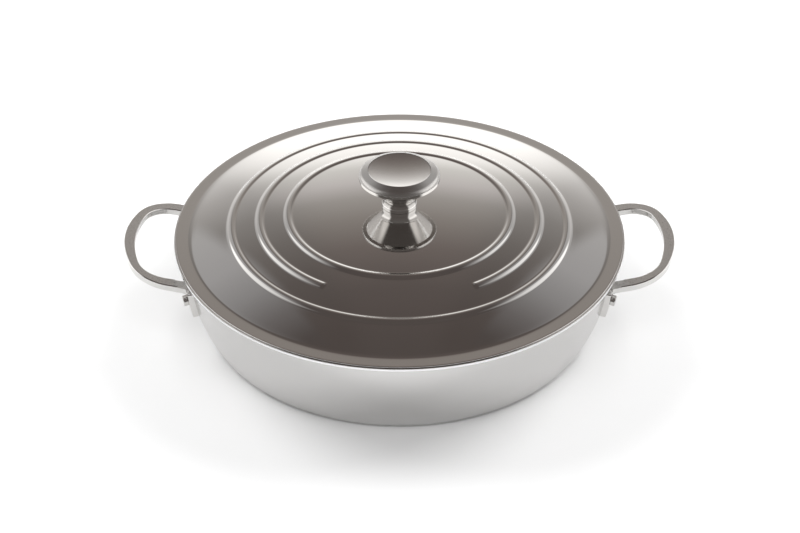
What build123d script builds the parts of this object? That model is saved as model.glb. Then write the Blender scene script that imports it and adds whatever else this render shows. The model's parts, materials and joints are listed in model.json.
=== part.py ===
from build123d import *
import math
import os

# A clad stainless braiser: a low, bowl-sided pan with two cast loop handles,
# and a domed lid with a turned knob. Lengths are millimetres. The origin is the
# centre of the pan's underside, +Z is up, and the handles lie along X.
# The front is -Y, where the lid's middle rib is interrupted.

# Pan, a three-layer sheet pressed into a bowl
pan_height = 66.0
wall_radius = 152.0
wall_curve_radius = 130.0
base_corner_radius = 8.0
lip_flare_radius = 2.5
lip_flat_width = 3.5
outer_skin_thickness = 0.5
core_thickness = 1.4
inner_skin_thickness = 0.4

# Handles, each a cast loop with two lugs
handle_projection = 35.7
handle_half_width = 50.5
handle_grip_radius = 80.0
handle_corner_radius = 30.0
handle_bar_width = 7.7
handle_arm_width = 8.5
handle_inner_grip_radius = 90.0
handle_inner_corner_radius = 20.0
handle_thickness = 5.5
handle_drop = 11.0
handle_rise_angle = 12.0
handle_top_round = 0.7
handle_bottom_round = 1.8
lip_relief_gap = 2.7
lip_relief_depth = 0.8
lug_thickness = 4.0
lug_width = 16.0
lug_drop = 24.0
lug_corner_radius = 4.5
lug_root_round = 1.2

# Rivets, one through each lug
rivet_shank_radius = 2.6
rivet_head_radius = 3.9
rivet_head_height = 3.0
rivet_head_round = 0.7
rivet_drop = 14.0
rivet_inner_head_radius = 5.0
rivet_inner_head_height = 1.5
rivet_inner_head_round = 1.0
rivet_clearance = 0.05

# Lid, one pressed sheet with a flat band, a dome and three raised ribs
lid_sheet_thickness = 0.9
lid_edge_setback = 1.0
lid_band_width = 9.3
dome_rise = 21.4
rib_count = 3
rib_inset = 29.8
rib_spacing = 19.9
rib_width = 6.4
rib_height = 1.0
rib_gap_half_angle = 31.0
knob_seat_radius = 13.0

# Hoop under the lid that centres it in the mouth of the pan
hoop_thickness = 0.8
hoop_depth = 7.0
hoop_clearance = 1.0

# Knob, built up on the flat seat at the top of the dome
base_ring_radius = 12.2
base_ring_height = 3.0
base_ring_round = 0.4
neck_radius = 11.8
neck_straight_height = 3.3
flare_radius = 16.0
flare_angle = 80.0
stem_wall = 1.5
stem_rim_width = 3.1
stem_rim_height = 2.4
cap_rim_overhang = 0.1
cap_rim_height = 0.4
cap_rise = 4.7
cap_wall = 1.4
cap_shoulder_bulge = 0.7
disc_radius = 21.8
disc_thickness = 1.2
disc_dish_depth = 2.0
disc_ledge_width = 2.0
disc_clearance = 0.05

# Fastening of the knob, from below
screw_radius = 3.0
screw_clearance = 0.3
thread_clearance = 0.05
screw_head_radius = 5.5
screw_head_height = 3.3
screw_head_round = 1.4
screw_recess_length = 5.6
screw_recess_width = 1.2
screw_recess_depth = 1.8
flat_washer_radius = 9.0
flat_washer_thickness = 1.0
lock_washer_radius = 5.2
lock_washer_thickness = 1.5
lock_washer_slit = 0.9
lock_washer_slit_angle = 25.0
insert_radius = 5.5
insert_length = 9.0
insert_flange_radius = 7.5
insert_flange_height = 1.5
insert_clearance = 0.05

# One length past every face that a cut runs through
cut_overrun = 2.0

# How nearly an edge lies in a plane to count as in it, as a share of the edge's rounding
flatness_share = 0.01

# Sizes that follow from the ones above
clad_thickness = outer_skin_thickness + core_thickness + inner_skin_thickness
lip_radius = wall_radius + lip_flare_radius + lip_flat_width
handle_reach = lip_radius + handle_projection
wall_top = pan_height - clad_thickness - lip_flare_radius
wall_centre_radius = wall_radius - wall_curve_radius
corner_reach = math.sqrt((wall_curve_radius - base_corner_radius) ** 2 - (wall_top - base_corner_radius) ** 2)
base_flat_radius = wall_centre_radius + corner_reach
corner_turn = math.degrees(math.atan2(base_corner_radius - wall_top, corner_reach))

lid_band_radius = lip_radius - lid_edge_setback
dome_edge_radius = lid_band_radius - lid_band_width
lid_top = pan_height + lid_sheet_thickness
dome_radius = (dome_edge_radius ** 2 + dome_rise ** 2) / (2 * dome_rise)
rib_tube_radius = (rib_width ** 2 / 4 + rib_height ** 2) / (2 * rib_height)
screw_hole_radius = screw_radius + screw_clearance


def dome_height(radius):
    """Height of the dome's upper surface at a distance from the axis."""
    drop = dome_radius - math.sqrt(dome_radius ** 2 - radius ** 2)
    return lid_top + dome_rise - drop


knob_seat = dome_height(knob_seat_radius)
under_seat = knob_seat - lid_sheet_thickness
stem_bottom = knob_seat + base_ring_height


def turned(edges):
    """Turns a closed outline of radius and height into a solid of revolution."""
    return revolve(Plane.XZ * make_face(edges), Axis.Z)


def outline(*points):
    """Straight edges through the points, closed."""
    return Polyline(*points, close=True).edges()


def ring(inner_radius, outer_radius, bottom, height):
    """A flat washer shape, or a hoop."""
    top = bottom + height
    lower = [(inner_radius, bottom), (outer_radius, bottom)]
    upper = [(outer_radius, top), (inner_radius, top)]
    return turned(outline(*lower, *upper))


def shaft(radius, bottom, top):
    """An upright cylinder on the axis."""
    return turned(outline((0, bottom), (radius, bottom), (radius, top), (0, top)))


def one_solid(shape):
    """The single solid of a finished piece."""
    solids = shape.solids()
    assert len(solids) == 1, len(solids)
    return solids[0]


# Pan

def side_line(depth):
    """Floor, corner and side of the bowl, a depth inside its outer surface."""
    return [
        Line((0, depth), (base_flat_radius, depth)),
        CenterArc((base_flat_radius, base_corner_radius), base_corner_radius - depth, -90, 90 + corner_turn),
        CenterArc((wall_centre_radius, wall_top), wall_curve_radius - depth, corner_turn, -corner_turn),
    ]


def lip_line(depth):
    """Flare and flat lip, a depth inside the outer surface."""
    flare_centre = wall_radius + lip_flare_radius
    height = wall_top + lip_flare_radius + depth
    return [
        CenterArc((flare_centre, wall_top), lip_flare_radius + depth, 180, -90),
        Line((flare_centre, height), (lip_radius, height)),
    ]


def clad_layer(depth, thickness):
    """One layer of the three-layer sheet, pressed to the bowl's shape."""
    deep = depth + thickness
    lip_height = wall_top + lip_flare_radius
    edge = Line((lip_radius, lip_height + depth), (lip_radius, lip_height + deep))
    middle = Line((0, depth), (0, deep))
    sides = side_line(depth) + lip_line(depth) + side_line(deep) + lip_line(deep)
    return turned(sides + [edge, middle])


def bowl_block(depth):
    """The space inside the bowl's side, filled solid up to the foot of the flare."""
    top = Line((wall_radius - depth, wall_top), (0, wall_top))
    middle = Line((0, wall_top), (0, depth))
    return turned(side_line(depth) + [top, middle])


# Handles

arm_middle = handle_half_width - handle_arm_width / 2
lug_angle = math.degrees(math.asin(arm_middle / wall_radius))
handle_plane = Plane(
    origin=(lip_radius, 0, pan_height - handle_drop),
    x_dir=(math.cos(math.radians(handle_rise_angle)), 0, math.sin(math.radians(handle_rise_angle))),
    z_dir=(-math.sin(math.radians(handle_rise_angle)), 0, math.cos(math.radians(handle_rise_angle))),
)


def loop_face(reach, half_width, grip_radius, corner_radius, root):
    """A D shape: two straight arms, two corner arcs and one flat arc across the grip."""
    grip_centre = reach - grip_radius
    corner_y = half_width - corner_radius
    corner_x = grip_centre + math.sqrt((grip_radius - corner_radius) ** 2 - corner_y ** 2)
    turn = math.degrees(math.atan2(corner_y, corner_x - grip_centre))
    edges = [
        Line((root, half_width), (corner_x, half_width)),
        CenterArc((corner_x, corner_y), corner_radius, 90, turn - 90),
        CenterArc((grip_centre, 0), grip_radius, turn, -2 * turn),
        CenterArc((corner_x, -corner_y), corner_radius, -turn, turn - 90),
        Line((corner_x, -half_width), (root, -half_width)),
        Line((root, -half_width), (root, half_width)),
    ]
    return make_face(edges)


def slab(above, below):
    """A plate parallel to the handle's top face, between two distances from it."""
    thickness = above + below
    middle = Pos(0, 0, (above - below) / 2)
    return handle_plane * middle * Box(2 * handle_reach, 2 * handle_reach, thickness)


def edges_at(shape, distance):
    """The edges that lie in a plane parallel to the handle's top face."""
    tolerance = handle_top_round * flatness_share
    chosen = []
    for edge in shape.edges():
        heights = [handle_plane.to_local_coords(edge @ share).Z for share in (0, 0.5, 1)]
        if max(abs(height - distance) for height in heights) < tolerance:
            chosen.append(edge)
    return chosen


def loop_bar():
    """The grip and its two arms, running in to the axis, where the bowl cuts them off."""
    outer = loop_face(handle_reach, handle_half_width, handle_grip_radius, handle_corner_radius, 0)
    inner = loop_face(
        handle_reach - handle_bar_width,
        handle_half_width - handle_arm_width,
        handle_inner_grip_radius,
        handle_inner_corner_radius,
        -cut_overrun,
    )
    bar = extrude(outer - inner, 2 * pan_height) & slab(0, handle_thickness)
    bar = fillet(edges_at(bar, 0), handle_top_round)
    bar = fillet(edges_at(bar, -handle_thickness), handle_bottom_round)
    relief = shaft(lip_radius + lip_relief_gap, 0, 2 * pan_height) & slab(handle_thickness, lip_relief_depth)
    return bar - relief


def lug(side):
    """A plate that lies on the wall below one arm; side is -1 at the front and 1 at the back."""
    top = pan_height - handle_drop - handle_thickness / 2
    turn = math.radians(side * lug_angle)
    radial = (math.cos(turn), math.sin(turn), 0)
    across = (-math.sin(turn), math.cos(turn), 0)
    middle = Plane(origin=(0, 0, top - lug_drop / 2), x_dir=across, z_dir=radial)
    plate = extrude(middle * RectangleRounded(lug_width, lug_drop, lug_corner_radius), lip_radius)
    return plate & (bowl_block(-lug_thickness) - bowl_block(0))


def root_edges(casting):
    """The edges along which the rounded underside of each arm runs into its lug."""
    face_radius = wall_curve_radius + lug_thickness
    tolerance = lug_root_round * flatness_share
    highest = handle_bottom_round - handle_thickness + tolerance
    lowest = -handle_thickness - tolerance
    chosen = []
    for edge in casting.edges():
        places = [edge @ share for share in (0, 0.5, 1)]
        heights = [handle_plane.to_local_coords(place).Z for place in places]
        inward = [math.hypot(place.X, place.Y) - wall_centre_radius for place in places]
        reaches = [math.hypot(reach, place.Z - wall_top) for reach, place in zip(inward, places)]
        on_lug = max(abs(reach - face_radius) for reach in reaches) < tolerance
        if on_lug and lowest < min(heights) and max(heights) < highest:
            chosen.append(edge)
    return chosen


def rivet_plane(side):
    """Where a rivet crosses the wall's outer face, with Z outwards square to the wall."""
    height = pan_height - handle_drop - rivet_drop
    slope = math.asin((wall_top - height) / wall_curve_radius)
    turn = math.radians(side * lug_angle)
    radius = wall_centre_radius + wall_curve_radius * math.cos(slope)
    across = (-math.sin(turn), math.cos(turn), 0)
    outwards = (math.cos(turn) * math.cos(slope), math.sin(turn) * math.cos(slope), -math.sin(slope))
    place = (radius * math.cos(turn), radius * math.sin(turn), height)
    return Plane(origin=place, x_dir=across, z_dir=outwards)


def rod(plane, radius, start, end):
    """A cylinder along a plane's Z between two distances from it."""
    return plane * extrude(Pos(0, 0, start) * Circle(radius), end - start)


def rivet_hole(side):
    """The cut for one rivet, through the lug and all layers of the wall."""
    reach = clad_thickness + lug_thickness + cut_overrun
    return rod(rivet_plane(side), rivet_shank_radius + rivet_clearance, -reach, reach)


def head(radius, height, edge_round):
    """A rivet or screw head standing on the XY plane, rounded round its top."""
    blank = extrude(Circle(radius), height)
    top_edge = blank.edges().sort_by(Axis.Z)[-1]
    return fillet(top_edge, edge_round)


def rivet(side):
    """Shank, tall outside head and low inside head, each head bedded on the curved face under it."""
    plane = rivet_plane(side)
    shank = rod(plane, rivet_shank_radius, -clad_thickness - rivet_inner_head_height / 2, lug_thickness)
    outer_blank = head(rivet_head_radius, rivet_head_height + rivet_clearance, rivet_head_round)
    inner_height = rivet_inner_head_height + clad_thickness / 2
    inner_blank = head(rivet_inner_head_radius, inner_height, rivet_inner_head_round)
    outer_head = plane * Pos(0, 0, lug_thickness - rivet_clearance) * outer_blank
    inner_head = plane * Pos(0, 0, -clad_thickness / 2) * Rot(180, 0, 0) * inner_blank
    bedded = (outer_head - bowl_block(-lug_thickness)) + (inner_head & bowl_block(clad_thickness))
    return shank + bedded


def handle():
    """The right-hand handle: loop and lugs in one casting, cut to the wall and drilled."""
    casting = loop_bar() + lug(-1) + lug(1)
    casting = fillet(root_edges(casting), lug_root_round)
    casting = casting - bowl_block(0)
    for side in (-1, 1):
        casting = casting - rivet_hole(side)
    return casting


def on_both_sides(shape):
    """A right-hand piece, and the same piece turned to the left of the pan."""
    return shape, Rot(0, 0, 180) * shape


# Lid

def dome_line(depth, low):
    """Seat, dome and flat band as far as a depth below the upper surface, closed at a low height."""
    seat = knob_seat - depth
    rim = lid_top - depth
    centre = lid_top + dome_rise - dome_radius
    inner_radius = dome_radius - depth
    rim_reach = math.sqrt(inner_radius ** 2 - (rim - centre) ** 2)
    seat_reach = math.sqrt(inner_radius ** 2 - (seat - centre) ** 2)
    middle_radius = (rim_reach + seat_reach) / 2
    middle = (middle_radius, centre + math.sqrt(inner_radius ** 2 - middle_radius ** 2))
    dome = [
        Line((0, low), (0, seat)),
        Line((0, seat), (seat_reach, seat)),
        ThreePointArc((seat_reach, seat), middle, (rim_reach, rim)),
    ]
    return dome, rim_reach, rim


def rib_tube(radius, depth, half_gap):
    """A round bar bent in a circle under the dome; its top makes one rib, square-ended at a gap."""
    height = dome_height(radius) + rib_height - rib_tube_radius
    section = Plane.XZ * Pos(radius, height) * Circle(rib_tube_radius - depth)
    if half_gap == 0:
        return revolve(section, Axis.Z)
    open_angle = half_gap + math.degrees(depth / radius)
    return revolve(Rot(0, 0, open_angle - 90) * section, Axis.Z, 360 - 2 * open_angle)


def lid_ribs(depth):
    """The bars of all the ribs; the middle one stops short at the front."""
    bars = []
    for number in range(rib_count):
        half_gap = rib_gap_half_angle if number == rib_count // 2 else 0
        radius = dome_edge_radius - rib_inset - number * rib_spacing
        bars.append(rib_tube(radius, depth, half_gap))
    return bars


def lid():
    """The pressed sheet: the upper form less the same form one sheet lower."""
    low = pan_height
    dome, rim_reach, rim = dome_line(0, low)
    band = [
        Line((rim_reach, rim), (lid_band_radius, rim)),
        Line((lid_band_radius, rim), (lid_band_radius, low)),
        Line((lid_band_radius, low), (0, low)),
    ]
    upper = turned(dome + band)
    for bar in lid_ribs(0):
        upper = upper + bar
    deep = low - cut_overrun
    hollow, hollow_reach, hollow_rim = dome_line(lid_sheet_thickness, deep)
    closing = [
        Line((hollow_reach, hollow_rim), (hollow_reach, deep)),
        Line((hollow_reach, deep), (0, deep)),
    ]
    lower = turned(hollow + closing)
    for bar in lid_ribs(lid_sheet_thickness):
        lower = lower + bar
    return upper - lower - shaft(screw_hole_radius, pan_height, knob_seat + cut_overrun)


def locating_hoop():
    """A plain hoop welded edge-on under the flat band."""
    outer_radius = wall_radius - clad_thickness - hoop_clearance
    return ring(outer_radius - hoop_thickness, outer_radius, pan_height - hoop_depth, hoop_depth)


# Knob

flare_centre = (neck_radius + flare_radius, stem_bottom + neck_straight_height)


def flare_point(radius, turn):
    """A point of the flare, for an arc of this radius about its centre, turned up from the neck."""
    angle = math.radians(180 - turn)
    return (flare_centre[0] + radius * math.cos(angle), flare_centre[1] + radius * math.sin(angle))


stem_rim_radius = flare_point(flare_radius, flare_angle)[0] + stem_rim_width
stem_top = flare_point(flare_radius, flare_angle)[1] + stem_rim_height
cap_radius = stem_rim_radius + cap_rim_overhang
cap_edge_top = stem_top + cap_rim_height
cap_top = stem_top + cap_rise
ledge_top = cap_top - disc_thickness
insert_seat = stem_bottom + insert_length


def knob_foot():
    """The low ring between the knob and the lid."""
    foot = ring(screw_hole_radius, base_ring_radius, knob_seat, base_ring_height)
    outer_edges = foot.edges().filter_by(GeomType.CIRCLE).group_by(SortBy.RADIUS)[-1]
    return fillet(outer_edges, base_ring_round)


def knob_stem():
    """A hollow trumpet: short straight neck, concave flare and an upright rim that carries the cap."""
    inner = flare_radius + stem_wall
    seat_turn = math.degrees(math.asin((insert_seat - flare_centre[1]) / inner))
    outer_end = flare_point(flare_radius, flare_angle)
    inner_end = flare_point(inner, flare_angle)
    seat_edge = flare_point(inner, seat_turn)
    bore = insert_radius + insert_clearance
    edges = [
        Line((bore, stem_bottom), (neck_radius, stem_bottom)),
        Line((neck_radius, stem_bottom), (neck_radius, flare_centre[1])),
        CenterArc(flare_centre, flare_radius, 180, -flare_angle),
        Line(outer_end, (stem_rim_radius, outer_end[1])),
        Line((stem_rim_radius, outer_end[1]), (stem_rim_radius, stem_top)),
        Line((stem_rim_radius, stem_top), (inner_end[0], stem_top)),
        Line((inner_end[0], stem_top), inner_end),
        CenterArc(flare_centre, inner, 180 - seat_turn, seat_turn - flare_angle),
        Line(seat_edge, (bore, insert_seat)),
        Line((bore, insert_seat), (bore, stem_bottom)),
    ]
    return turned(edges)


def knob_cap():
    """The upper shell: a rim, a rounded shoulder, and a recess and ledge for the top disc."""
    recess = disc_radius + disc_clearance
    ledge = recess - disc_ledge_width
    shoulder_radius = (cap_radius + recess) / 2 + cap_shoulder_bulge
    shoulder_middle = (shoulder_radius, (cap_edge_top + cap_top) / 2 + cap_shoulder_bulge)
    edges = [
        Line((cap_radius, stem_top), (cap_radius, cap_edge_top)),
        ThreePointArc((cap_radius, cap_edge_top), shoulder_middle, (recess, cap_top)),
        Line((recess, cap_top), (recess, ledge_top)),
        Line((recess, ledge_top), (ledge, ledge_top)),
        Line((ledge, ledge_top), (ledge, ledge_top - cap_wall)),
        Line((ledge, ledge_top - cap_wall), (recess, ledge_top - cap_wall)),
        Line((recess, ledge_top - cap_wall), (cap_radius - 2 * cap_wall, stem_top)),
        Line((cap_radius - 2 * cap_wall, stem_top), (cap_radius, stem_top)),
    ]
    return turned(edges)


def knob_disc():
    """The dished disc let into the cap, with a step under its edge that sits on the ledge."""
    dish = cap_top - disc_dish_depth
    dish_radius = (disc_radius ** 2 + disc_dish_depth ** 2) / (2 * disc_dish_depth)
    under_radius = dish_radius + disc_thickness
    step_radius = disc_radius - disc_ledge_width
    centre = (0, dish + dish_radius)
    edge_turn = math.degrees(math.asin(disc_radius / dish_radius))
    step_turn = math.degrees(math.asin(step_radius / under_radius))
    step_height = centre[1] - math.sqrt(under_radius ** 2 - step_radius ** 2)
    edges = [
        CenterArc(centre, dish_radius, -90, edge_turn),
        Line((disc_radius, cap_top), (disc_radius, ledge_top)),
        Line((disc_radius, ledge_top), (step_radius, ledge_top)),
        Line((step_radius, ledge_top), (step_radius, step_height)),
        CenterArc(centre, under_radius, -90, step_turn),
        Line((0, dish - disc_thickness), (0, dish)),
    ]
    return turned(edges)


def threaded_insert():
    """A flanged bush in the neck, drawn down on its flange by the screw."""
    bore = screw_radius + thread_clearance
    bush = ring(bore, insert_radius, stem_bottom, insert_length)
    return bush + ring(bore, insert_flange_radius, insert_seat, insert_flange_height)


def lock_washer():
    """A ring slit at a slant, drawn flat as it lies when tight."""
    bottom = under_seat - flat_washer_thickness - lock_washer_thickness
    washer = ring(screw_hole_radius, lock_washer_radius, bottom, lock_washer_thickness)
    slit = Box(2 * lock_washer_radius, lock_washer_slit, 2 * lock_washer_thickness)
    place = Pos(lock_washer_radius + screw_radius, 0, bottom + lock_washer_thickness / 2)
    return washer - place * Rot(lock_washer_slit_angle, 0, 0) * slit


def flat_washer():
    """A plain washer under the lid, which spreads the screw's pull."""
    bottom = under_seat - flat_washer_thickness
    return ring(screw_hole_radius, flat_washer_radius, bottom, flat_washer_thickness)


def knob_screw():
    """A pan-head screw with a cross recess, put in from inside the lid."""
    seat = under_seat - flat_washer_thickness - lock_washer_thickness
    thread = shaft(screw_radius, seat, insert_seat + insert_flange_height)
    blank = head(screw_head_radius, screw_head_height, screw_head_round)
    for turn in (0, 90):
        slot = Box(screw_recess_length, screw_recess_width, 2 * screw_recess_depth)
        blank = blank - Pos(0, 0, screw_head_height) * Rot(0, 0, turn) * slot
    return thread + Pos(0, 0, seat) * Rot(180, 0, 0) * blank


# All the pieces

def drilled(layer):
    """A layer of the wall with the four rivet holes."""
    for side in (-1, 1):
        for hole in on_both_sides(rivet_hole(side)):
            layer = layer - hole
    return layer


core_depth = outer_skin_thickness
inner_skin_depth = outer_skin_thickness + core_thickness
handle_right, handle_left = on_both_sides(handle())
rivet_right_front, rivet_left_back = on_both_sides(rivet(-1))
rivet_right_back, rivet_left_front = on_both_sides(rivet(1))

pieces = {
    "pan_outer_skin": drilled(clad_layer(0, outer_skin_thickness)),
    "pan_aluminium_core": drilled(clad_layer(core_depth, core_thickness)),
    "pan_inner_skin": drilled(clad_layer(inner_skin_depth, inner_skin_thickness)),
    "handle_right": handle_right,
    "handle_left": handle_left,
    "rivet_right_front": rivet_right_front,
    "rivet_right_back": rivet_right_back,
    "rivet_left_front": rivet_left_front,
    "rivet_left_back": rivet_left_back,
    "lid_shell": lid(),
    "lid_locating_hoop": locating_hoop(),
    "knob_base_ring": knob_foot(),
    "knob_stem": knob_stem(),
    "knob_cap": knob_cap(),
    "knob_top_disc": knob_disc(),
    "knob_threaded_insert": threaded_insert(),
    "knob_flat_washer": flat_washer(),
    "knob_lock_washer": lock_washer(),
    "knob_screw": knob_screw(),
}

os.makedirs("parts", exist_ok=True)
for name, shape in pieces.items():
    export_step(one_solid(shape), f"parts/{name}.step")
    print(name, round(one_solid(shape).volume))
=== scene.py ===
# %% [markdown]
# A steel braiser in a white studio.
#
# The object is a low, round pan pressed from three-layer sheet, with two cast
# loop handles, and a mirror-polished lid with three raised ribs and a turned knob.
# Almost everything that the eye reads in polished steel is a reflection, so this
# lesson spends its time on three things: surfaces with true, smooth normals,
# a studio worth reflecting, and the small marks that each way of finishing leaves.
#
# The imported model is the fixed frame. Its pieces never move here. Where a piece
# is turned or pressed and carries long smooth reflections, a finer mesh stands
# for it in the same place; the others keep their own mesh and get a finish.

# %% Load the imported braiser
import json
import math

import bpy
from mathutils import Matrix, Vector


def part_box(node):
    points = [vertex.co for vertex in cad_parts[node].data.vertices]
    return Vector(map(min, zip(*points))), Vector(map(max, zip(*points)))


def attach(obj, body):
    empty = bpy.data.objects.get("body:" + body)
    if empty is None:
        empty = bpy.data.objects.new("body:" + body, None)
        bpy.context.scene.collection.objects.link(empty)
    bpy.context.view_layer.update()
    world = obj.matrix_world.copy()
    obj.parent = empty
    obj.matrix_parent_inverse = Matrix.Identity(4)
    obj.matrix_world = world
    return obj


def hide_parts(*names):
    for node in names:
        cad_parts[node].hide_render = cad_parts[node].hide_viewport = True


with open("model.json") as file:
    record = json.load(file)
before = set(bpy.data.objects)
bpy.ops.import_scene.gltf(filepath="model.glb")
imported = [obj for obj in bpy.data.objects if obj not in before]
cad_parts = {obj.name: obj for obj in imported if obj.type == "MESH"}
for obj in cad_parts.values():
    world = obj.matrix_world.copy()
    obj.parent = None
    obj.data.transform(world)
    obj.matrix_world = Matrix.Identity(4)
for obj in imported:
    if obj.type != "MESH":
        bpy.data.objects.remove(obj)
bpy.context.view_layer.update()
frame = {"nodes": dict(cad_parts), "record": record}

MM = 0.001

# %% [markdown]
# The camera.
#
# The photograph looks down on the lid at about 34 degrees from 1.5 m away, so
# the far handle is only a little smaller than the near side of the pan. Those two
# facts, with the lens, come from the lid's outline: its ellipse gives the angle,
# and the way the near half bulges more than the far half gives the distance.
# The distance runs from the middle of the lid's flat band, one sheet's thickness
# above the mouth of the pan. The aim is a little below and in front of it, because
# the object stands above the middle of the picture. There is no shift and no
# depth of field.

# %% Camera
sheet_thickness = 0.9
rim_centre = Vector((0, 0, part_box("pan_inner_skin")[1].z + sheet_thickness * MM))
camera_distance = 1500 * MM
camera_elevation = math.radians(34.3)
aim_below = math.radians(0.984)
camera_aside = 0.42 * MM
camera_lens = 95.9
sensor_width = 36

camera_data = bpy.data.cameras.new("studio_camera")
camera_data.lens = camera_lens
camera_data.sensor_width = sensor_width
camera = bpy.data.objects.new("studio_camera", camera_data)
bpy.context.scene.collection.objects.link(camera)
camera_back = Vector((0, -math.cos(camera_elevation), math.sin(camera_elevation)))
camera.location = rim_centre + camera_distance * camera_back + Vector((camera_aside, 0, 0))
camera.rotation_euler = (math.pi / 2 - camera_elevation - aim_below, 0, 0)
bpy.context.scene.camera = camera
bpy.context.scene.view_settings.view_transform = "Standard"
print("camera at", [round(value, 3) for value in camera.location])

# %% [markdown]
# Small helpers for node trees.
#
# Every finish below is a handful of texture nodes wired to one shader. `Nodes`
# keeps those wires short to write: it adds a node, sets its values and links
# its inputs in one call, so a material reads as a recipe.

# %% Node helper


class Nodes:
    """Adds nodes to one tree and links them as they are added."""

    def __init__(self, tree):
        self.tree = tree
        self.tree.nodes.clear()

    def add(self, kind, settings=None, **inputs):
        """One node. Inputs are values, or output sockets to link from."""
        node = self.tree.nodes.new(kind)
        for key, value in (settings or {}).items():
            setattr(node, key, value)
        for key, value in inputs.items():
            self.feed(node.inputs[key.replace("_", " ")], value)
        return node

    def feed(self, socket, value):
        """Links a socket, or sets its constant."""
        if isinstance(value, bpy.types.NodeSocket):
            self.tree.links.new(value, socket)
        else:
            socket.default_value = value

    def sum_of(self, operation, *values):
        """A Math node on one, two or three values."""
        node = self.tree.nodes.new("ShaderNodeMath")
        node.operation = operation
        for socket, value in zip(node.inputs, values):
            self.feed(socket, value)
        return node.outputs[0]

    def step(self, value, start, end, low=0.0, high=1.0):
        """A soft step from low at start to high at end."""
        node = self.add("ShaderNodeMapRange", {"interpolation_type": "SMOOTHSTEP"})
        node.inputs["From Min"].default_value = start
        node.inputs["From Max"].default_value = end
        node.inputs["To Min"].default_value = low
        node.inputs["To Max"].default_value = high
        self.feed(node.inputs["Value"], value)
        return node.outputs["Result"]

    def ramp(self, value, stops):
        """Grey or coloured stops along a value; a stop is (place, (red, green, blue))."""
        node = self.add("ShaderNodeValToRGB")
        elements = node.color_ramp.elements
        while len(elements) < len(stops):
            elements.new(1.0)
        for element, (place, colour) in zip(elements, stops):
            element.position = place
            element.color = (*colour, 1)
        self.feed(node.inputs["Fac"], value)
        return node.outputs["Color"]

    def blend(self, share, first, second):
        """Colours mixed by a share."""
        node = self.add("ShaderNodeMix", {"data_type": "RGBA"})
        for name, value in (("Factor_Float", share), ("A_Color", first), ("B_Color", second)):
            socket = next(s for s in node.inputs if s.identifier == name)
            self.feed(socket, value)
        return next(s for s in node.outputs if s.identifier == "Result_Color")

    def either(self, share, first, second):
        """Two shaders mixed by a share: the first at 0, the second at 1."""
        node = self.tree.nodes.new("ShaderNodeMixShader")
        self.feed(node.inputs[0], share)
        self.feed(node.inputs[1], first.outputs[0])
        self.feed(node.inputs[2], second.outputs[0])
        return node


print("node helper ready")

# %% [markdown]
# The studio that the steel mirrors.
#
# A polished dome shows nearly the whole room. In the photograph its back edge is
# white and its middle falls off to a dark warm grey, so the room ahead is written
# as brightness by height: one ramp for the middle, one for the dimmer strips next
# to it, and one for the paler walls beyond them. Overhead they all run into one
# colour, because directions close together there lie all round the compass, and
# a seam would show.
# The ribs and the neck of the knob look further round, and show the lights: a tall
# soft box on each side. Its lower edge fades in above the horizon, and its upper
# edge is a little higher than halfway up. After two mirror bounces in the knob it
# is still nearly white, though each bounce on steel takes almost half, so low down
# it is over twice as bright as white paper. It gets dimmer with height, so that
# from the sides, where the lid mirrors it, the lid still has some shading.
# Behind the camera the room is dim. Colours in a ramp stay below 1, so the room's
# are written at half their value and doubled by the strength.
#
# The room and its soft boxes only show in mirrors: matt things get one even light
# from all round. What the camera itself sees past the floor is plain white. Light
# Path tells these three apart.

# %% World
room_strength = 2.0
box_strength = (2.6, 1.2)
box_fade_angle = (5, 52)
box_colour = (1, 0.995, 0.985, 1)
light_on_matt = 0.35
box_start_angle = (40, 48)
box_end_angle = (106, 124)
box_top_edge = (43, 64)
box_low_edge = (3, 22)
ceiling_angle = (58, 84)
ceiling_colour = (0.066, 0.056, 0.052, 1)
near_angle = (6, 18)
far_angle = (23, 26)
white = (1, 1, 1, 1)
height_of = {angle: math.sin(math.radians(angle)) for angle in range(0, 91)}
middle_stops = [
    (height_of[0], (0.95, 0.94, 0.92)),
    (height_of[10], (0.88, 0.87, 0.85)),
    (height_of[16], (0.76, 0.75, 0.73)),
    (height_of[21], (0.50, 0.49, 0.47)),
    (height_of[26], (0.42, 0.40, 0.39)),
    (height_of[31], (0.27, 0.255, 0.24)),
    (height_of[37], (0.195, 0.178, 0.165)),
    (height_of[45], (0.125, 0.107, 0.099)),
    (height_of[55], (0.083, 0.070, 0.065)),
    (height_of[70], (0.068, 0.056, 0.052)),
]
near_stops = [
    (height_of[0], (0.50, 0.49, 0.48)),
    (height_of[12], (0.49, 0.48, 0.47)),
    (height_of[20], (0.325, 0.315, 0.305)),
    (height_of[30], (0.190, 0.180, 0.172)),
    (height_of[40], (0.125, 0.114, 0.107)),
    (height_of[50], (0.084, 0.073, 0.068)),
    (height_of[65], (0.062, 0.051, 0.047)),
]
far_stops = [
    (height_of[0], (0.48, 0.47, 0.46)),
    (height_of[15], (0.40, 0.39, 0.385)),
    (height_of[25], (0.33, 0.325, 0.32)),
    (height_of[40], (0.275, 0.27, 0.27)),
    (height_of[48], (0.20, 0.195, 0.195)),
    (height_of[55], (0.115, 0.107, 0.105)),
    (height_of[62], (0.062, 0.053, 0.050)),
]
behind_stops = [
    (height_of[0], (0.10, 0.094, 0.09)),
    (height_of[60], (0.080, 0.071, 0.067)),
]

world = bpy.data.worlds.new("studio")
bpy.context.scene.world = world
world.use_nodes = True
room = Nodes(world.node_tree)
direction = room.add("ShaderNodeTexCoord").outputs["Generated"]
parts = room.add("ShaderNodeSeparateXYZ", Vector=direction).outputs
height = parts["Z"]
height_squared = room.sum_of("MULTIPLY", height, height)
flat_length = room.sum_of("SQRT", room.sum_of("SUBTRACT", 1.0, height_squared))
onward = room.sum_of("DIVIDE", parts["Y"], flat_length)

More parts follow.
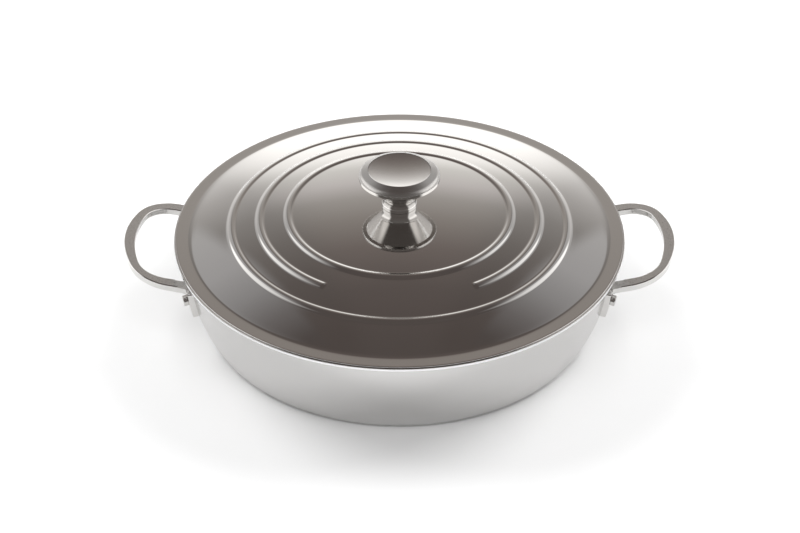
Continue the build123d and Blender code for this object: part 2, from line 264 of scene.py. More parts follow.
middle = room.ramp(height, middle_stops)
near = room.ramp(height, near_stops)
far = room.ramp(height, far_stops)


def by_azimuth(angles, low=0.0, high=1.0):
    """A soft step between two angles, measured round from straight ahead."""
    start, end = (math.cos(math.radians(angle)) for angle in angles)
    return room.step(onward, end, start, high, low)


def by_height(angles, low=0.0, high=1.0):
    """A soft step between two angles above the horizon."""
    start, end = (height_of[angle] for angle in angles)
    return room.step(height, start, end, low, high)


ahead = room.blend(by_azimuth(far_angle), room.blend(by_azimuth(near_angle), middle, near), far)
behind = room.ramp(height, behind_stops)
walls = room.blend(by_azimuth(box_end_angle), ahead, behind)
room_colour = room.blend(by_height(ceiling_angle), walls, ceiling_colour)
under_edge = by_height(box_top_edge, 1.0, 0.0)
between = room.sum_of("MULTIPLY", by_azimuth(box_start_angle), by_azimuth(box_end_angle, 1.0, 0.0))
over_edge = by_height(box_low_edge)
box_share = room.sum_of("MULTIPLY", between, room.sum_of("MULTIPLY", under_edge, over_edge))

light_path = room.add("ShaderNodeLightPath").outputs
studio = room.add("ShaderNodeBackground", Color=room_colour, Strength=room_strength)
box_light = by_height(box_fade_angle, *box_strength)
soft_box = room.add("ShaderNodeBackground", Color=box_colour, Strength=box_light)
even_light = room.add("ShaderNodeBackground", Color=white, Strength=light_on_matt)
backdrop = room.add("ShaderNodeBackground", Color=white, Strength=1.0)
mirrored = room.either(box_share, studio, soft_box)
lit_room = room.either(light_path["Is Glossy Ray"], even_light, mirrored)
shown = room.either(light_path["Is Camera Ray"], lit_room, backdrop)
room.feed(room.add("ShaderNodeOutputWorld").inputs["Surface"], shown.outputs[0])
print("world has", len(world.node_tree.nodes), "nodes")

# %% [markdown]
# The floor and the lamps.
#
# The floor is matt white paper. It carries the soft shadow that grounds the pan,
# and the pan's wall mirrors it, which is why the wall looks pale. A little glow in
# its material lifts it towards white. Some way from the pan the camera sees it as
# plain white, or a low view would show a grey strip of floor along the horizon.
# In the mirrors the paper ends at the edge of a table. The knob shows this: towards
# the camera it has no pale line where a floor would meet the room.
# Two wide soft lamps stand left and right, a little behind the pan, and a weaker
# one hangs in front, so the shadow is darkest in front of the pan, where the
# photograph has it. All three are kept out of the reflections, where the room
# above already has its soft boxes.

# %% Floor and lamps
floor_reach = 6.0
floor_white = (0.90, 0.90, 0.90, 1)
floor_glow = 0.03
table_half_width = 0.55
table_front = -0.45
table_depth = 2.2
white_from = (0.5, 1.1)
lamp_size = 1.6
side_lamp_place = Vector((1.6, 1.0, 1.4))
side_lamp_power = 42
front_lamp_place = Vector((0, -1.4, 2.0))
front_lamp_power = 17

floor_mesh = bpy.data.meshes.new("floor")
corner_signs = [(-1, -1), (1, -1), (1, 1), (-1, 1)]
corners = [(x * floor_reach, y * floor_reach, 0) for x, y in corner_signs]
floor_mesh.from_pydata(corners, [], [(0, 1, 2, 3)])
floor = bpy.data.objects.new("floor", floor_mesh)
bpy.context.scene.collection.objects.link(floor)

paper = bpy.data.materials.new("studio_paper")
paper.use_nodes = True
sheet = Nodes(paper.node_tree)
matt = sheet.add("ShaderNodeBsdfDiffuse", Color=floor_white)
glow = sheet.add("ShaderNodeEmission", Color=white, Strength=floor_glow)
lit = sheet.add("ShaderNodeAddShader")
sheet.feed(lit.inputs[0], matt.outputs[0])
sheet.feed(lit.inputs[1], glow.outputs[0])
plain = sheet.add("ShaderNodeEmission", Color=white, Strength=1.0)
paths = sheet.add("ShaderNodeLightPath").outputs
seen = sheet.sum_of("MAXIMUM", paths["Is Camera Ray"], paths["Is Glossy Ray"])
paper_look = sheet.either(seen, matt, lit)
floor_place = sheet.add("ShaderNodeTexCoord").outputs["Object"]
spot = sheet.add("ShaderNodeSeparateXYZ", Vector=floor_place).outputs
past_side = sheet.sum_of("GREATER_THAN", sheet.sum_of("ABSOLUTE", spot["X"]), table_half_width)
table_middle = table_front + table_depth / 2
from_middle = sheet.sum_of("ABSOLUTE", sheet.sum_of("SUBTRACT", spot["Y"], table_middle))
past_end = sheet.sum_of("GREATER_THAN", from_middle, table_depth / 2)
past_table = sheet.sum_of("MAXIMUM", past_side, past_end)
open_share = sheet.sum_of("MULTIPLY", past_table, paths["Is Glossy Ray"])
ended = sheet.either(open_share, paper_look, sheet.add("ShaderNodeBsdfTransparent"))
from_pan = sheet.add("ShaderNodeVectorMath", {"operation": "LENGTH"}, Vector=floor_place)
far_share = sheet.step(from_pan.outputs["Value"], *white_from)
white_share = sheet.sum_of("MULTIPLY", far_share, paths["Is Camera Ray"])
surface = sheet.either(white_share, ended, plain)
sheet.feed(sheet.add("ShaderNodeOutputMaterial").inputs["Surface"], surface.outputs[0])
floor_mesh.materials.append(paper)


def soft_lamp(name, place, power):
    """A wide lamp aimed at the pan, left out of the reflections."""
    data = bpy.data.lights.new(name, "AREA")
    data.shape = "DISK"
    data.size = lamp_size
    data.energy = power
    lamp = bpy.data.objects.new(name, data)
    bpy.context.scene.collection.objects.link(lamp)
    lamp.location = place
    lamp.rotation_euler = (-place).to_track_quat("-Z", "Y").to_euler()
    lamp.visible_glossy = False
    lamp.visible_camera = False
    return lamp


lamps = [
    soft_lamp("lamp_left", side_lamp_place * Vector((-1, 1, 1)), side_lamp_power),
    soft_lamp("lamp_right", side_lamp_place, side_lamp_power),
    soft_lamp("lamp_front", front_lamp_place, front_lamp_power),
]
print("lamps", len(lamps))

# %% [markdown]
# Marks left by polishing.
#
# Nobody sees a scratch on this pan from a step away, but without marks steel
# looks like liquid. Each finish leaves its own: a lathe or a spinning pad draws
# circles round the axis, casting leaves a grain, and handling leaves soft smudges
# that only change the gloss. All three are noise textures; what differs is the
# space that the noise is read in. For the circles, the noise sees radius and
# height finely and the angle coarsely, so it stretches into rings with no seam.

# %% Marks
noise_detail = 3.0
usual_noise = (0.3, 0.7)


def round_space(nodes):
    """Radius and height about the axis, and the direction from it, as sockets."""
    place = nodes.add("ShaderNodeTexCoord").outputs["Object"]
    parts = nodes.add("ShaderNodeSeparateXYZ", Vector=place).outputs
    squares = [nodes.sum_of("MULTIPLY", parts[axis], parts[axis]) for axis in "XY"]
    radius = nodes.sum_of("SQRT", nodes.sum_of("ADD", *squares))
    safe_radius = nodes.sum_of("MAXIMUM", radius, MM)
    across = [nodes.sum_of("DIVIDE", parts[axis], safe_radius) for axis in "XY"]
    return radius, parts["Z"], across


def ring_marks(nodes, rings_per_mm, breaks):
    """Noise drawn out into rings; breaks says how often a ring fades on its way round."""
    radius, height, across = round_space(nodes)
    fine = rings_per_mm / MM
    vector = nodes.add("ShaderNodeCombineXYZ")
    nodes.feed(vector.inputs["X"], nodes.sum_of("MULTIPLY", radius, fine))
    nodes.feed(vector.inputs["Y"], nodes.sum_of("MULTIPLY", across[0], breaks))
    nodes.feed(vector.inputs["Z"], nodes.sum_of("MULTIPLY", across[1], breaks))
    noise = nodes.add("ShaderNodeTexNoise", {"noise_dimensions": "4D"}, Vector=vector.outputs[0])
    nodes.feed(noise.inputs["W"], nodes.sum_of("MULTIPLY", height, fine))
    noise.inputs["Scale"].default_value = 1.0
    noise.inputs["Detail"].default_value = noise_detail
    return noise.outputs["Fac"]


def cloud_marks(nodes, size_mm):
    """Soft even noise, for smudges and for the slight unevenness of a casting."""
    place = nodes.add("ShaderNodeTexCoord").outputs["Object"]
    noise = nodes.add("ShaderNodeTexNoise", Vector=place)
    noise.inputs["Scale"].default_value = 1 / (size_mm * MM)
    noise.inputs["Detail"].default_value = noise_detail
    return noise.outputs["Fac"]


def spread(nodes, noise, low, high):
    """Noise, which stays near its middle, widened to a range of roughness."""
    return nodes.step(noise, *usual_noise, low, high)


def steel_shader(name, colour, marks, bump_mm):
    """A metal shader in a new material; marks(nodes) gives its roughness and its bumps."""
    material = bpy.data.materials.new(name)
    material.use_nodes = True
    nodes = Nodes(material.node_tree)
    shader = nodes.add("ShaderNodeBsdfPrincipled", Base_Color=(*colour, 1), Metallic=1.0)
    roughness, bumps = marks(nodes)
    nodes.feed(shader.inputs["Roughness"], roughness)
    bump = nodes.add("ShaderNodeBump", Height=bumps, Distance=bump_mm * MM)
    nodes.feed(shader.inputs["Normal"], bump.outputs[0])
    nodes.feed(nodes.add("ShaderNodeOutputMaterial").inputs["Surface"], shader.outputs[0])
    return material, nodes, shader


def turned_tangent(nodes, shader, amount):
    """Stretches the highlights across the turning marks, as on anything off a lathe."""
    tangent = nodes.add("ShaderNodeTangent", {"direction_type": "RADIAL", "axis": "Z"})
    nodes.feed(shader.inputs["Tangent"], tangent.outputs[0])
    shader.inputs["Anisotropic"].default_value = amount


print("marks ready")

# %% [markdown]
# The finishes, one for each way a piece is made.
#
# The lid is buffed to a mirror: almost no roughness, a few smudges. The outside of
# the bowl is polished a little less, so the floor in it goes soft. The inside is
# left satin, because food marks it anyway. The knob is turned, and its marks run
# round it: its stem and foot are bright, its cap and disc are satin. The handles are
# cast: their flat tops keep a blasted, grainy face, and the sides are linished bright.
# The reflecting colour of the lid's steel is about 0.55, a touch warm. The other
# pieces are the same steel with painted light in their colours, matched to the
# photograph, and lie to either side of it: the wall and the sides of the handles
# are painted paler, and the cap, whose satin face looks up at the dark room, is
# painted darker, as painted shade. The stem is painted palest, because light
# reaches the eye from it after two or three bounces, and each one takes its share.

# %% Finishes
steel_colour = (0.565, 0.552, 0.54)
# Painted light: the bowl's wall is painted a little paler than the lid's steel.
wall_painted_paler_colour = (0.605, 0.598, 0.59)
# Painted light: the knob's stem and foot are painted paler than the steel, for the light that mirror
# bounces take away.
stem_painted_light_colour = (0.78, 0.77, 0.755)
# Painted shade: the knob's cap is painted darker than the steel.
cap_painted_shade_colour = (0.46, 0.447, 0.435)
casting_colour = (0.55, 0.535, 0.52)
# Painted light: the handles' sides are painted paler than their top face.
linished_painted_sheen_colour = (0.67, 0.66, 0.645)
aluminium_colour = (0.80, 0.80, 0.81)
side_tilt = 0.90
top_tilt = 0.965


def mirror_lid():
    """Buffed lid: nearly a mirror, with faint smudges and hairlines round the axis."""
    def marks(nodes):
        rings = ring_marks(nodes, rings_per_mm=2.5, breaks=6)
        smudge = spread(nodes, cloud_marks(nodes, size_mm=35), low=0.035, high=0.06)
        hairs = spread(nodes, rings, low=0.0, high=0.02)
        return nodes.sum_of("ADD", smudge, hairs), rings
    return steel_shader("mirror_lid", steel_colour, marks, bump_mm=0.0004)[0]


def polished_wall_painted_paler():
    """Outside of the bowl: polished on a spinning pad, soft enough to blur what it mirrors, and painted
    a little paler than the lid's steel as painted light.
    """
    def marks(nodes):
        rings = ring_marks(nodes, rings_per_mm=4, breaks=10)
        return spread(nodes, cloud_marks(nodes, size_mm=50), low=0.20, high=0.23), rings
    material, nodes, shader = steel_shader("polished_wall_painted_paler", wall_painted_paler_colour, marks, bump_mm=0.0006)
    turned_tangent(nodes, shader, amount=0.3)
    return material


def satin_inside():
    """Inside of the bowl and the hoop: a satin face brushed in circles."""
    def marks(nodes):
        rings = ring_marks(nodes, rings_per_mm=3, breaks=14)
        return spread(nodes, rings, low=0.27, high=0.34), rings
    material, nodes, shader = steel_shader("satin_inside", steel_colour, marks, bump_mm=0.0012)
    turned_tangent(nodes, shader, amount=0.5)
    return material


def cut_aluminium():
    """The core's cut edge, a fine brighter line in the lip."""
    def marks(nodes):
        rings = ring_marks(nodes, rings_per_mm=6, breaks=20)
        return spread(nodes, rings, low=0.25, high=0.35), rings
    return steel_shader("cut_aluminium", aluminium_colour, marks, bump_mm=0.002)[0]


def turned_knob_with_painted_light():
    """Stem and foot of the knob: turned, then polished on the lathe, and painted paler than the steel
    as painted light.
    """
    def marks(nodes):
        rings = ring_marks(nodes, rings_per_mm=5, breaks=5)
        smudges = spread(nodes, cloud_marks(nodes, size_mm=9), low=0.08, high=0.10)
        return nodes.sum_of("ADD", smudges, spread(nodes, rings, low=0.0, high=0.02)), rings
    return steel_shader("turned_knob_with_painted_light", stem_painted_light_colour, marks, bump_mm=0.0006)[0]


def satin_turned(name, colour, finest, coarsest):
    """Cap and disc of the knob: turned satin, in which the soft boxes spread."""
    def marks(nodes):
        rings = ring_marks(nodes, rings_per_mm=5, breaks=6)
        smudges = spread(nodes, cloud_marks(nodes, size_mm=9), finest, coarsest)
        return nodes.sum_of("ADD", smudges, spread(nodes, rings, low=0.0, high=0.04)), rings
    material, nodes, shader = steel_shader(name, colour, marks, bump_mm=0.0010)
    turned_tangent(nodes, shader, amount=0.25)
    return material


def top_share(nodes):
    """How far a face looks up: 1 on a level top face, 0 on a side."""
    facing = nodes.add("ShaderNodeTexCoord").outputs["Normal"]
    upward = nodes.add("ShaderNodeSeparateXYZ", Vector=facing).outputs["Z"]
    return nodes.step(upward, side_tilt, top_tilt)


def cast_handle():
    """Handle: grainy satin on the flat top face, linished on the sides, which are painted paler than
    the top as painted light.
    """
    def marks(nodes):
        grain = cloud_marks(nodes, size_mm=0.5)
        uneven = cloud_marks(nodes, size_mm=12)
        top_face = top_share(nodes)
        mixed = nodes.add("ShaderNodeMapRange", Value=top_face)
        nodes.feed(mixed.inputs["To Min"], spread(nodes, uneven, low=0.10, high=0.16))
        nodes.feed(mixed.inputs["To Max"], spread(nodes, grain, low=0.26, high=0.36))
        return mixed.outputs["Result"], nodes.sum_of("MULTIPLY", grain, top_face)
    material, nodes, shader = steel_shader("cast_handle_finish_and_painted_sheen", casting_colour, marks, bump_mm=0.012)
    # Painted light: faces that look sideways get the paler colour, the level top face the darker one.
    colour = nodes.blend(top_share(nodes), (*linished_painted_sheen_colour, 1), (*casting_colour, 1))
    nodes.feed(shader.inputs["Base Color"], colour)
    return material


def rivet_finish():
    """Rivets: polished heads with the odd knock."""
    def marks(nodes):
        knocks = cloud_marks(nodes, size_mm=1.8)
        return spread(nodes, knocks, low=0.10, high=0.17), knocks
    return steel_shader("rivet_finish", steel_colour, marks, bump_mm=0.01)[0]


def plain_fastener():
    """Screw, washers and insert: bright zinc-like steel as it comes from the maker."""
    def marks(nodes):
        rings = ring_marks(nodes, rings_per_mm=6, breaks=8)
        return spread(nodes, rings, low=0.2, high=0.3), rings
    return steel_shader("plain_fastener", steel_colour, marks, bump_mm=0.002)[0]


finishes = {
    "outer_steel": polished_wall_painted_paler(),
    "core_aluminium": cut_aluminium(),
    "inner_steel": satin_inside(),
    "cast_handle": cast_handle(),
    "rivet_steel": rivet_finish(),
    "lid_steel": mirror_lid(),
    "knob_steel": turned_knob_with_painted_light(),
    "fastener_steel": plain_fastener(),
}
# The cap's satin material carries painted shade in its darker colour.
cap_painted_shade_finish = satin_turned("satin_cap_painted_shade", cap_painted_shade_colour, finest=0.28, coarsest=0.31)
disc_finish = satin_turned("satin_disc", steel_colour, finest=0.17, coarsest=0.20)
print("finishes", sorted(finishes))

# %% [markdown]
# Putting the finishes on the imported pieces.
#
# The record says which slot each piece takes its finish from, so one loop
# dresses all of them. Pieces that get a finer stand-in below are hidden later.

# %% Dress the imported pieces
slot_of = {row["node"]: row["material_slot"] for row in frame["record"]["subparts"]}
body_of = {}
for body, members in frame["record"]["behaviour"]["bodies"].items():
    for member in members:
        body_of[member] = body
for node, thing in frame["nodes"].items():
    thing.data.materials[0] = finishes[slot_of[node]]
print("dressed", len(slot_of))

# %% [markdown]
# Turning a section.
#
# A pan is spun or pressed round one axis, and a knob is turned on a lathe, so
# both are drawn the way a turner would: one section of radius and height, swept
# round. A `Section` is drawn anticlockwise with straight runs and bends. Each
# point remembers the exact direction its surface faces. Those directions go into
# the mesh as its normals, so a wide flat beside a tight bend stays flat in the
# mirror, which averaged normals would not give.

# %% Section
tiny = 1e-6
merge_digits = 5


class Section:
    """A closed outline of radius and height in mm, drawn anticlockwise from a start."""

    bend_step = 6.0
    longest_step = 4.0

    def __init__(self, radius, height):
        self.place = (radius, height)
        self.runs = []

    def to(self, radius, height):
        """A straight run."""
        along = (radius - self.place[0], height - self.place[1])
        length = math.hypot(*along)
        if length > tiny:
            normal = (along[1] / length, -along[0] / length)
            self.runs.append([(self.place, normal), ((radius, height), normal)])
            self.place = (radius, height)
        return self

    def bend(self, centre, turn):
        """An arc about a centre, by degrees; anticlockwise bends are rounded outwards."""
        reach = (self.place[0] - centre[0], self.place[1] - centre[1])
        radius = math.hypot(*reach)
        start = math.atan2(reach[1], reach[0])
        length = radius * math.radians(abs(turn))
        count = max(2, math.ceil(abs(turn) / self.bend_step), math.ceil(length / self.longest_step))
        facing = 1 if turn > 0 else -1
        run = []
        for step in range(count + 1):
            angle = start + math.radians(turn) * step / count
            outward = (math.cos(angle), math.sin(angle))
            point = (centre[0] + radius * outward[0], centre[1] + radius * outward[1])
            run.append((point, (facing * outward[0], facing * outward[1])))
        self.runs.append(run)
        self.place = run[-1][0]
        return self


def turned_piece(name, section, slices, nodes, material=None):
    """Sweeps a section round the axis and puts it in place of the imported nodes."""
    vertices, faces, normals, rings = [], [], [], {}

    def ring(point):
        key = (round(point[0], merge_digits), round(point[1], merge_digits))
        if key not in rings:
            rings[key] = len(vertices)
            count = 1 if key[0] == 0 else slices
            for number in range(count):
                angle = 2 * math.pi * number / slices
                reach = point[0] * MM
                vertices.append((reach * math.cos(angle), reach * math.sin(angle), point[1] * MM))
        return rings[key], key[0] == 0

    for run in section.runs:
        for (first, first_normal), (second, second_normal) in zip(run, run[1:]):
            low, low_pole = ring(first)
            high, high_pole = ring(second)
            if low_pole and high_pole:
                continue
            for number in range(slices):
                following = (number + 1) % slices
                corners = [
                    (low, low_pole, number, first_normal),
                    (low, low_pole, following, first_normal),
                    (high, high_pole, following, second_normal),
                    (high, high_pole, number, second_normal),
                ]
                if low_pole:
                    corners = [corners[0]] + corners[2:]
                if high_pole:
                    corners = corners[:3]
                faces.append([base if pole else base + turn for base, pole, turn, _ in corners])
                for _, _, turn, normal in corners:
                    angle = 2 * math.pi * turn / slices
                    outward, upward = normal
                    normals.append((outward * math.cos(angle), outward * math.sin(angle), upward))
    mesh = bpy.data.meshes.new(name)
    mesh.from_pydata(vertices, [], faces)
    mesh.polygons.foreach_set("use_smooth", [True] * len(faces))
    mesh.normals_split_custom_set(normals)
    stand_in(name, mesh, nodes, material)


def stand_in(name, mesh, nodes, material=None):
    """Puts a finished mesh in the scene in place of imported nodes, on their body and slot."""
    mesh.materials.append(material or finishes[slot_of[nodes[0]]])
    piece = bpy.data.objects.new(name, mesh)
    bpy.context.scene.collection.objects.link(piece)
    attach(piece, body_of[nodes[0]])
    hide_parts(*nodes)
    print(name, len(mesh.polygons), "faces")


# %% [markdown]
# The bowl.
#
# One disc of sheet, steel outside, aluminium in the middle, steel inside, pressed
# into a bowl. Its side is one long arc that leaves the floor through a tight
# corner and stands upright at the mouth, where it flares out into a narrow flat
# lip. The three layers follow the same line at different depths, so one function
# draws them all. The lip's edge is cut and eased, and the core shows there as a line.

# %% Bowl
pan_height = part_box("pan_inner_skin")[1].z / MM
clad_layers = [
    ("bowl_outside", "pan_outer_skin", 0.5),
    ("bowl_core", "pan_aluminium_core", 1.4),
    ("bowl_inside", "pan_inner_skin", 0.4),
]
clad_thickness = sum(thickness for _, _, thickness in clad_layers)
wall_radius = 152.0
wall_curve_radius = 130.0
corner_radius = 8.0
flare_radius = 2.5
lip_width = 3.5
lip_edge_round = 0.25
lip_radius = wall_radius + flare_radius + lip_width
mouth_height = pan_height - clad_thickness - flare_radius
curve_centre = (wall_radius - wall_curve_radius, mouth_height)
corner_reach = math.sqrt((wall_curve_radius - corner_radius) ** 2 - (mouth_height - corner_radius) ** 2)
corner_centre = (curve_centre[0] + corner_reach, corner_radius)
corner_turn = math.degrees(math.atan2(corner_radius - mouth_height, corner_reach))
flare_centre = (wall_radius + flare_radius, mouth_height)
bowl_slices = 240


def layer_section(outer_depth, inner_depth, low_round, high_round):
    """One layer of the sheet between two depths inside the outer face."""
    low = mouth_height + flare_radius + outer_depth
    high = mouth_height + flare_radius + inner_depth
    section = Section(0, outer_depth)
    section.to(corner_centre[0], outer_depth)
    section.bend(corner_centre, 90 + corner_turn)
    section.bend(curve_centre, -corner_turn)
    section.bend(flare_centre, -90)
    section.to(lip_radius - low_round, low)
    if low_round:
        section.bend((lip_radius - low_round, low + low_round), 90)
    section.to(lip_radius, high - high_round)
    if high_round:
        section.bend((lip_radius - high_round, high - high_round), 90)
    section.to(flare_centre[0], high)
    section.bend(flare_centre, 90)
    section.bend(curve_centre, corner_turn)
    section.bend(corner_centre, -90 - corner_turn)
    section.to(0, inner_depth)
    return section


depth = 0.0
for number, (name, node, thickness) in enumerate(clad_layers):
    low_round = lip_edge_round if number == 0 else 0
    high_round = lip_edge_round if number == len(clad_layers) - 1 else 0
    section = layer_section(depth, depth + thickness, low_round, high_round)
    turned_piece(name, section, bowl_slices, [node])
    depth += thickness
print("bowl", round(2 * lip_radius, 1), "mm across the lip")

# %% [markdown]
# The lid.
#
# The lid is one sheet, pressed between two tools: a flat band round the edge,
# a shallow dome, and three ribs that stand up in rings. The middle rib stops
# short at the front. It is the one piece that isn't quite a turned shape, so it is
# written as a height for every radius and angle, and the mesh is a polar grid,
# fine across the ribs and coarse between them.
# Pressed steel has no sharp folds: each rib is a rounded crest that runs out in
# hollow bends, and the dome meets the band in a small soft bend. Those bends
# are what draw the bright and dark lines round the lid. The thickness of the
# sheet is set with the camera, which needed the height of the band.

# %% Lid
lid_inset = 1.0
band_width = 9.3
lid_radius = lip_radius - lid_inset
dome_edge = lid_radius - band_width
dome_rise = 21.4
band_height = pan_height + sheet_thickness
dome_radius = (dome_edge ** 2 + dome_rise ** 2) / (2 * dome_rise)
dome_centre = band_height + dome_rise - dome_radius
band_bend = 0.10
seat_radius = 13.0
hole_radius = 3.3
rib_radii = [117.9, 98.0, 78.1]
middle_rib = 1
rib_height = 0.85
rib_half_width = 3.7
rib_crest_share = 0.62
rib_gap = 31.0
rib_end = 0.9
edge_round = 0.3
edge_steps = 5
fold_reach = 2.5
gap_steps = 8

rib_slope = 2 * math.atan(rib_height / rib_half_width)
rib_bends = rib_half_width / math.sin(rib_slope)
crest_bend = rib_bends * rib_crest_share
foot_bend = rib_bends - crest_bend


def rib_rise(offset):
    """Height of a rib above the dome at a distance from its middle line."""
    offset = abs(offset)
    if offset >= rib_half_width:
        return 0.0
    if offset < crest_bend * math.sin(rib_slope):
        return rib_height - crest_bend + math.sqrt(crest_bend ** 2 - offset ** 2)
    return foot_bend - math.sqrt(foot_bend ** 2 - (rib_half_width - offset) ** 2)


def soft_step(value, start, end):
    """A soft step from 0 to 1."""
    share = min(1.0, max(0.0, (value - start) / (end - start)))
    return share * share * (3 - 2 * share)


def lid_height(radius, from_front):
    """Height of the lid's upper face; from_front is degrees away from the front."""
    seated = max(radius, seat_radius)
    dome = dome_centre + math.sqrt(dome_radius ** 2 - seated ** 2) - band_height
    height = band_height + (dome + math.sqrt(dome ** 2 + 4 * band_bend ** 2)) / 2
    for number, rib_radius in enumerate(rib_radii):
        rise = rib_rise(radius - rib_radius)
        if number == middle_rib:
            rise *= soft_step(from_front, rib_gap - rib_end, rib_gap + rib_end)
        height += rise
    return height


def lid_radii(coarse, fine):
    """Radii of the grid's rings, fine across ribs and at the foot of the dome."""
    radii = [hole_radius]
    edge = lid_radius - edge_round
    fine_starts = [rib_radius - rib_half_width - fine for rib_radius in rib_radii]
    while radii[-1] < edge:
        here = radii[-1]
        middle = here + fine / 2
        on_rib = any(abs(middle - rib_radius) < rib_half_width + fine for rib_radius in rib_radii)
        on_fold = abs(here - dome_edge) < fold_reach
        limits = [start for start in fine_starts if start > middle]
        if middle < dome_edge - fold_reach:
            limits.append(dome_edge - fold_reach)
        step = fine if on_rib or on_fold else coarse
        radii.append(min(here + step, edge, *limits))
    return radii


def lid_angles(even_count, fine_step):
    """Degrees round from the front, closer together at the two ends of the middle rib."""
    angles = {round(360 * number / even_count, 3) for number in range(even_count)}
    for end in (rib_gap, 360 - rib_gap):
        near = [end + fine_step * step for step in range(-gap_steps, gap_steps + 1)]
        angles = {a for a in angles if not near[0] < a < near[-1]} | set(near)
    return sorted(angles)


def edge_points():
    """The rounded edge of the sheet, from its lower face to its upper face."""
    points = []
    low, high = band_height - sheet_thickness, band_height
    for centre_height, start in ((low + edge_round, -90), (high - edge_round, 0)):
        for step in range(1, edge_steps + 1):
            bend = math.radians(start + 90 * step / edge_steps)
            reach = lid_radius - edge_round + edge_round * math.cos(bend)
            points.append((reach, centre_height + edge_round * math.sin(bend)))
    return points


top_radii = lid_radii(coarse=2.6, fine=0.33)
under_radii = lid_radii(coarse=4.0, fine=0.5)
angles = lid_angles(even_count=360, fine_step=0.25)
vertices = []
for angle in angles:
    from_front = min(angle, 360 - angle)
    turn = math.radians(angle)
    outline = [(radius, lid_height(radius, from_front) - sheet_thickness) for radius in under_radii]
    outline += edge_points()
    outline += [(radius, lid_height(radius, from_front)) for radius in reversed(top_radii[:-1])]
    for radius, height_mm in outline:
        x, y = radius * math.sin(turn), -radius * math.cos(turn)
        vertices.append((x * MM, y * MM, height_mm * MM))
ring_length = len(outline)
faces = []
for column in range(len(angles)):
    first = column * ring_length
    second = (column + 1) % len(angles) * ring_length
    for row in range(ring_length):
        after = (row + 1) % ring_length
        faces.append((first + row, second + row, second + after, first + after))
lid_mesh = bpy.data.meshes.new("lid_sheet")
lid_mesh.from_pydata(vertices, [], faces)
lid_mesh.polygons.foreach_set("use_smooth", [True] * len(faces))
stand_in("lid_sheet", lid_mesh, ["lid_shell"])

# %% [markdown]
# The knob.
#
# Four pieces in a stack, each turned or pressed and then turned: a low ring on the
# lid, a stem whose neck opens into a straight hollow cone, a cap, and a dished disc
# let into the cap. Seen from above, the cap hides the cone, but the lid mirrors it
# from below, where its straight side shows as a fan of light and dark streaks. The
# cap's shoulder is a gentle slope with a tighter bend at its edge, so it meets the
# upright rim without a sharp corner. The eased edges are only a few tenths of a
# millimetre, just enough to catch a thin line of light.

# %% Knob
foot_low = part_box("knob_base_ring")[0].z / MM
stem_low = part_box("knob_stem")[0].z / MM
stem_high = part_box("knob_stem")[1].z / MM
knob_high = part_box("knob_cap")[1].z / MM
knob_slices = 144
knob_ease = 0.35
joint_ease = 0.15
foot_radius = 12.2
neck_radius = 11.8
neck_bend = 8.0
cone_angle = math.radians(42)
stem_wall = 1.5
rim_radius = 28.12
rim_width = 3.1
rim_height = 2.4
bore_radius = 5.55
insert_height = 9.0
insert_top = stem_low + insert_height
cap_overhang = 0.1
cap_radius = rim_radius + cap_overhang
cap_wall = 1.4
recess_radius = 21.85
ledge_radius = 19.85
shoulder_slope = 24
shoulder_bend_slope = 74
shoulder_width = 3.9
disc_radius = 21.8
disc_under_radius = 19.8
disc_thickness = 1.2
disc_dish = 2.0
disc_ease = 0.3


def base_ring():
    """The low ring under the stem."""
    section = Section(hole_radius, foot_low)
    section.to(foot_radius - knob_ease, foot_low)
    section.bend((foot_radius - knob_ease, foot_low + knob_ease), 90)
    section.to(foot_radius, stem_low - knob_ease)
    section.bend((foot_radius - knob_ease, stem_low - knob_ease), 90)
    section.to(hole_radius, stem_low).to(hole_radius, foot_low)
    turned_piece("knob_ring", section, knob_slices, ["knob_base_ring"])


def stem():
    """The hollow cone, from the neck to the upright rim under the cap."""
    slope = math.tan(cone_angle)
    rim_low = stem_high - rim_height
    cone_edge = rim_radius - rim_width
    bend_end = neck_radius + neck_bend * (1 - math.cos(cone_angle))
    bend_high = rim_low - (cone_edge - bend_end) / slope
    bend_centre = (neck_radius + neck_bend, bend_high - neck_bend * math.sin(cone_angle))
    inner_radius = cone_edge - stem_wall * math.cos(cone_angle)
    inner_high = rim_low + stem_wall * math.sin(cone_angle)
    inner_low = inner_radius - (inner_high - insert_top) * slope
    edge = rim_radius - knob_ease
    joint_edge = rim_radius - joint_ease
    section = Section(bore_radius, stem_low)
    section.to(neck_radius, stem_low).to(neck_radius, bend_centre[1])
    section.bend(bend_centre, -math.degrees(cone_angle)).to(cone_edge, rim_low)
    section.to(edge, rim_low).bend((edge, rim_low + knob_ease), 90)
    section.to(rim_radius, stem_high - joint_ease).bend((joint_edge, stem_high - joint_ease), 90)
    section.to(inner_radius, stem_high).to(inner_radius, inner_high).to(inner_low, insert_top)
    section.to(bore_radius, insert_top).to(bore_radius, stem_low)
    print("neck bends from", round(bend_centre[1] - stem_low, 2), "mm above the ring")
    turned_piece("knob_trumpet", section, knob_slices, ["knob_stem"])


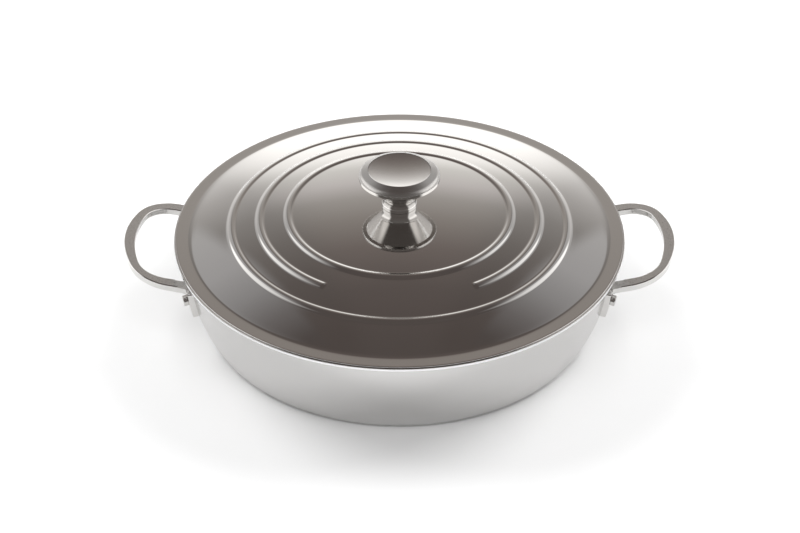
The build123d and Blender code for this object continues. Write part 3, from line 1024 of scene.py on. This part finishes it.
def cap():
    """The cap: a low rim, a tight bend, a sloping shoulder, and a stepped seat for the disc."""
    low_tilt, high_tilt = math.radians(shoulder_bend_slope), math.radians(shoulder_slope)
    bend_width = cap_radius - recess_radius - shoulder_width
    bend = bend_width / (math.sin(low_tilt) - math.sin(high_tilt))
    bend_top = knob_high - shoulder_width * math.tan(high_tilt)
    centre = (cap_radius - bend * math.sin(low_tilt), bend_top - bend * math.cos(high_tilt))
    rim_top = centre[1] + bend * math.cos(low_tilt)
    ledge_top = knob_high - disc_thickness
    inner_edge = cap_radius - 2 * cap_wall
    section = Section(inner_edge, stem_high)
    section.to(cap_radius - joint_ease, stem_high).to(cap_radius, rim_top)
    section.bend(centre, shoulder_bend_slope - shoulder_slope)
    section.to(recess_radius, knob_high).to(recess_radius, ledge_top)
    section.to(ledge_radius, ledge_top).to(ledge_radius, ledge_top - cap_wall)
    section.to(recess_radius, ledge_top - cap_wall).to(inner_edge, stem_high)
    print("cap rim", round(rim_top - stem_high, 2), "mm high, bend", round(bend, 2))
    turned_piece("knob_shoulder", section, knob_slices, ["knob_cap"], cap_painted_shade_finish)


def dished_disc():
    """The dished disc in the top of the cap; its eased edge leaves a fine groove."""
    middle_low = knob_high - disc_dish
    curve = (disc_radius ** 2 + disc_dish ** 2) / (2 * disc_dish)
    centre = (0, middle_low + curve)
    under_turn = math.asin(disc_under_radius / (curve + disc_thickness))
    reach = disc_radius - disc_ease
    section = Section(0, middle_low - disc_thickness)
    section.bend(centre, math.degrees(under_turn))
    section.to(disc_under_radius, knob_high - disc_thickness)
    section.to(disc_radius, knob_high - disc_thickness).to(disc_radius, knob_high - disc_ease)
    section.to(reach, centre[1] - math.sqrt(curve ** 2 - reach ** 2))
    section.bend(centre, -math.degrees(math.asin(reach / curve)))
    turned_piece("knob_dish", section, knob_slices, ["knob_top_disc"], disc_finish)


base_ring()
stem()
cap()
dished_disc()

# %% [markdown]
# The hoop inside the lid.
#
# A plain hoop stands on edge under the flat band and centres the lid in the
# mouth of the bowl. It only shows when the lid is lifted. Its lower edge is
# rounded over, because a cook's fingers and a cloth go along it.

# %% Hoop
hoop_play = 1.0
hoop_outer = wall_radius - clad_thickness - hoop_play
hoop_thickness = 0.8
hoop_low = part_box("lid_locating_hoop")[0].z / MM
hoop_ease = 0.3


def hoop():
    """The hoop, eased at its free lower edge."""
    inner = hoop_outer - hoop_thickness
    section = Section(inner + hoop_ease, hoop_low)
    section.to(hoop_outer - hoop_ease, hoop_low)
    section.bend((hoop_outer - hoop_ease, hoop_low + hoop_ease), 90)
    section.to(hoop_outer, pan_height).to(inner, pan_height).to(inner, hoop_low + hoop_ease)
    section.bend((inner + hoop_ease, hoop_low + hoop_ease), 90)
    turned_piece("lid_hoop", section, bowl_slices, ["lid_locating_hoop"])


hoop()
